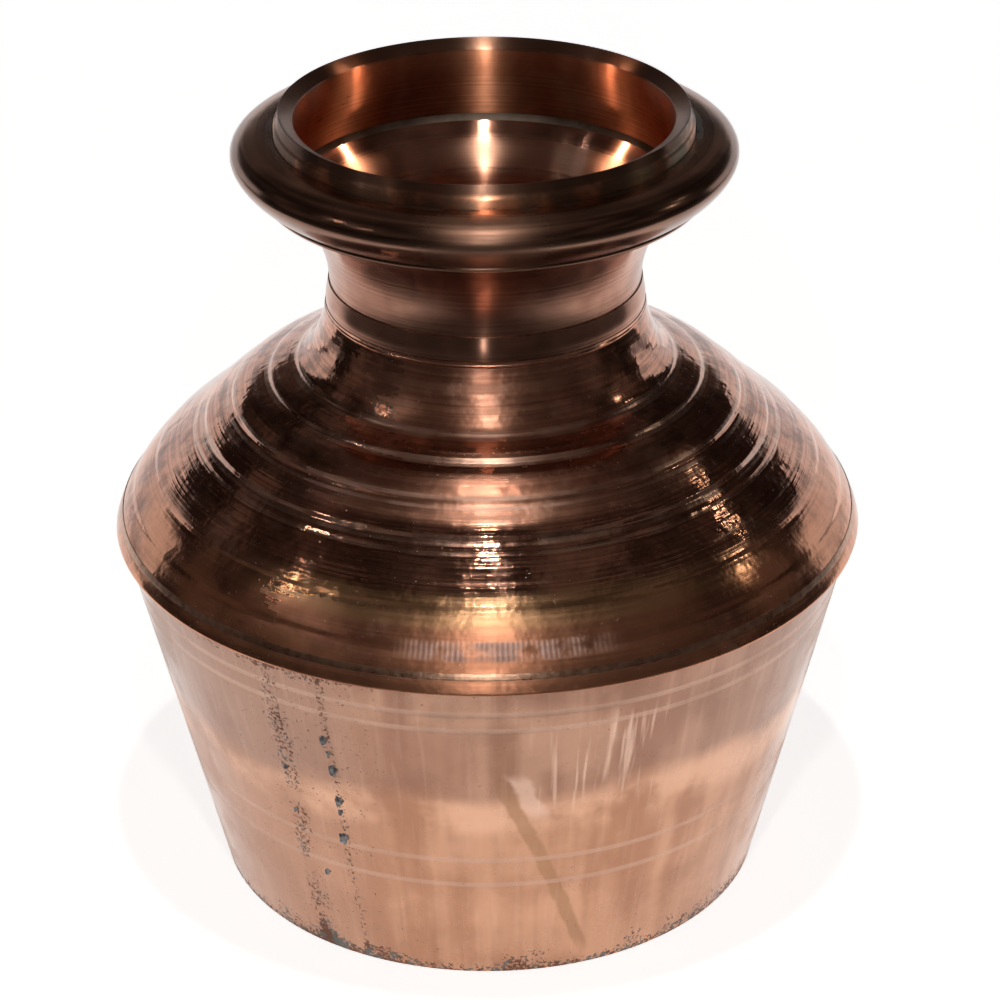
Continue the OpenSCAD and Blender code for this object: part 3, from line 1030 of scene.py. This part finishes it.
# %% Rim
rim_r, rim_z = 86.6, 270.4
flange_in_r, flange_top_z = 72.2, 277.4
flange_over = [
    (flange_in_r, flange_top_z), (flange_in_r + 6.8, flange_top_z), (rim_r, rim_z + 5.4), (rim_r, rim_z),
]
flange_under = [(rim_r, rim_z), (rim_r, rim_z - 3.4), (81.5, 261.7), (76.4, 258.7)]
hem_r = 1.3
hem_angle = math.radians(180 - 61.2)
hem_reach = flare_r + 0.3 - hem_r
hem_c = (flare_c[0] + hem_reach * math.cos(hem_angle), flare_c[1] + hem_reach * math.sin(hem_angle))
outline = along(flange_over, 24) + along(flange_under, 20, 0, 0.05, 0.95)
outline += arc(hem_c, hem_r, 25, -230, 20)
outline += along(flange_under, 12, -sheet_t, 0.97, 0.1) + along(flange_over, 12, -sheet_t, 1, 0)
flange = turn("rim_apron", outline)
settle(flange, rim_finish, "copper_rim", "rim_flange")

# %% [markdown]
# ## The mouth
# The inner wall of the mouth stands on the flare, runs straight for a little below the lip, and ends in
# a bevel and a step. All its corners are a little rounded, because each would catch the light.

# %% Mouth
mouth_r, crest_z = 64.8, pot_height
bevel_z = crest_z - 2.9
throat_z = bevel_z - 8.0
crest_r, step_in_r, step_r = 70.0, 70.4, 71.6
step_z, step_foot_z = crest_z - 4.0, crest_z - 4.6
sleeve_x = 1.3
lip_bend = 0.5
sleeve_foot = arc(flare_c, flare_r + sheet_t, 127.9, 130.0, 2)
lip = [(mouth_r, throat_z), (mouth_r, bevel_z), (crest_r, crest_z), (step_in_r, step_z)]
lip += [(step_r, step_foot_z), (step_r, flange_top_z - sheet_t), (mouth_r + sleeve_x, throat_z)]
sleeve = turn("mouth_lip", rounded(sleeve_foot + lip, lip_bend))
settle(sleeve, mouth_finish_with_painted_glow, "copper_mouth", "mouth_sleeve")

# %% [markdown]
# ## Solder and braze
# The joints were closed with softer metals. They are dull and lumpy, so one noise drives colour,
# roughness and relief alike. New solder is grey, old solder is almost black, and braze is yellower
# than the copper beside it.

# %% Finish of solder and braze
def soft_metal(name, dark, light, rough, lump, metal=1.0):
    """A dull, lumpy filler metal in two tones."""
    material, shader, place = new_finish(name)
    shader.inputs["Metallic"].default_value = metal
    lumps = cloud(place, lump, 4.0)
    fill(shader.inputs["Base Color"], blend(ease(lumps, 0.35, 0.65), dark, light))
    fill(shader.inputs["Roughness"], rough + 0.2 * lumps)
    fill(shader.inputs["Normal"], bumped(lumps, 0.12))
    return material


solder_finish = soft_metal(
    "grey_solder", (0.16, 0.145, 0.14, 1), (0.52, 0.52, 0.53, 1), rough=0.40, lump=1.6, metal=0.3)
old_solder_finish = soft_metal(
    "old_solder", (0.09, 0.07, 0.055, 1), (0.15, 0.12, 0.10, 1), rough=0.35, lump=9.0)
braze_finish = soft_metal(
    "braze", (0.46, 0.26, 0.17, 1), (0.60, 0.36, 0.25, 1), rough=0.20, lump=3.0)
print("filler metals:", [f.name for f in (solder_finish, old_solder_finish, braze_finish)])

# %% [markdown]
# ## Joints that stay as they are
# Four of the frame's joints already have the right shape and show only as a thin line. They stay, and
# only get a better finish.

# %% Frame pieces that stay in sight
kept_joints = {
    "base_joint_solder": old_solder_finish, "lip_joint_solder": old_solder_finish,
    "waist_joint_braze": braze_finish, "neck_joint_braze": braze_finish,
}
for node, finish in kept_joints.items():
    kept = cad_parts[node]
    kept.data.materials.clear()
    kept.data.materials.append(finish)
    print(node, "is", finish.name)

# %% [markdown]
# ## The ring inside the mouth
# The lip's inner wall stands on the flare of the neck, and a thin fillet of solder closes the corner
# between them. Four points are enough for its outline: one in the joint, one on each sheet, and one
# that makes its face hollow.

# %% Mouth solder
ring_leg = 1.5
ring_hollow = 0.36
corner, below = (Vector(arc(flare_c, flare_r + sheet_t, a, a, 1)[0]) for a in (130.0, 134.0))
up_sleeve = (Vector((mouth_r, throat_z)) - corner).normalized() * ring_leg
down_flare = (below - corner).normalized() * ring_leg
ring_points = [
    corner + Vector((0.3, 0.1)), corner + up_sleeve,
    corner + (up_sleeve + down_flare) * ring_hollow, corner + down_flare,
]
ring = turn("mouth_solder", [tuple(point) for point in ring_points])
settle(ring, old_solder_finish, "solder", "rim_joint_solder")

# %% [markdown]
# ## The side seam
# The sheet's two ends were cut into tabs that interlock, and metal was run into the line between
# them. The line shows as a thin bead that runs up, across and back. It is drawn as a path of edges
# on the wall, turned into a curve with a round section, and made a mesh again. It was filed flush and
# wiped with the wall, so it has the wall's finish.

# %% Path of the seam
tab_count = 12
bead_sunk = 0.18
seam_overrun = 12.0
seam_bottom = 1.0
seam_top = waist_z - 2.0
tab_height = (waist_z + seam_overrun) / tab_count


def on_wall(direction, z, proud=0.0):
    """A place on the wall's outer face, in metres."""
    r = wall_r(z) + proud
    return Vector((r * math.sin(direction), -r * math.cos(direction), z)) * MM


path = []
low = seam_bottom
for tab in range(tab_count):
    high = min(seam_top, (tab + 1) * tab_height)
    here, there = seam_edges if tab % 2 == 0 else seam_edges[::-1]
    path += [on_wall(here, low, -bead_sunk), on_wall(here, high, -bead_sunk)]
    if high == seam_top:
        break
    path += [on_wall(here + (there - here) * k / 4, high, -bead_sunk) for k in (1, 2, 3)]
    low = high
print("seam path has", len(path), "points")

# %% Seam bead
bead_r = 0.20
bpy.ops.object.select_all(action="DESELECT")
bpy.ops.mesh.primitive_plane_add(size=MM)
seam = bpy.context.object
seam.name = "seam_bead"
bpy.ops.object.mode_set(mode="EDIT")
bpy.ops.mesh.merge(type="CENTER")
bpy.ops.transform.translate(value=path[0])
for start, end in zip(path, path[1:]):
    bpy.ops.mesh.extrude_region_move(TRANSFORM_OT_translate={"value": end - start})
bpy.ops.object.mode_set(mode="OBJECT")
bpy.ops.object.convert(target="CURVE")
seam.data.bevel_depth = bead_r * MM
seam.data.bevel_resolution = 2
seam.data.use_fill_caps = True
bpy.ops.object.convert(target="MESH")
bpy.ops.object.shade_smooth_by_angle(angle=math.radians(60))
settle(seam, foot_finish, "braze", "side_seam_braze")

# %% [markdown]
# ## Repair solder
# Someone closed leaks along the seam with small dabs of grey solder. Each dab is a ball pressed flat
# on the wall, with a direction in degrees, a height and a size.

# %% Solder dabs
dab_places = (
    (-26.8, 103.0, 2.1), (-26.3, 97.0, 1.2), (-26.0, 90.0, 2.4), (-26.0, 75.8, 2.2), (-26.2, 70.0, 1.4),
    (-26.4, 58.2, 2.5), (-31.6, 38.4, 1.6), (-35.6, 84.3, 1.3), (-35.8, 64.4, 1.1),
)
dab_shape = (0.70, 0.24, 1.20)
dabs = []
for degrees, z, size in dab_places:
    bpy.ops.object.select_all(action="DESELECT")
    bpy.ops.mesh.primitive_ico_sphere_add(subdivisions=4, radius=size * MM)
    dab = bpy.context.object
    bpy.ops.transform.resize(value=dab_shape)
    direction = math.radians(degrees)
    upright = Matrix.Rotation(direction, 4, "Z") @ Matrix.Rotation(-math.atan(wall_lean), 4, "X")
    dab.matrix_world = Matrix.Translation(on_wall(direction, z)) @ upright @ dab.matrix_world
    bpy.ops.object.transform_apply(location=True, rotation=True, scale=True)
    dabs.append(dab)
print("dabs:", len(dabs))

# %% [markdown]
# The dabs are joined into one piece, as the frame has them, and a Displace modifier makes all of them
# lumpy. Its noise is read in world places, so no two dabs come out alike.

# %% Lumps on the dabs
lump_mm = 1.3
lump_height = 0.7
bpy.ops.object.select_all(action="DESELECT")
for dab in dabs:
    dab.select_set(True)
bpy.context.view_layer.objects.active = dabs[0]
bpy.ops.object.join()
dab_group = bpy.context.object
dab_group.name = "solder_dabs"
lumps = bpy.data.textures.new("dab_lumps", "CLOUDS")
lumps.noise_scale = lump_mm * MM
pressed = dab_group.modifiers.new("lumps", "DISPLACE")
pressed.texture = lumps
pressed.texture_coords = "GLOBAL"
pressed.strength = lump_height * MM
bpy.ops.object.modifier_apply(modifier="lumps")
bpy.ops.object.shade_smooth()
settle(dab_group, solder_finish, "solder", "seam_solder_dabs")
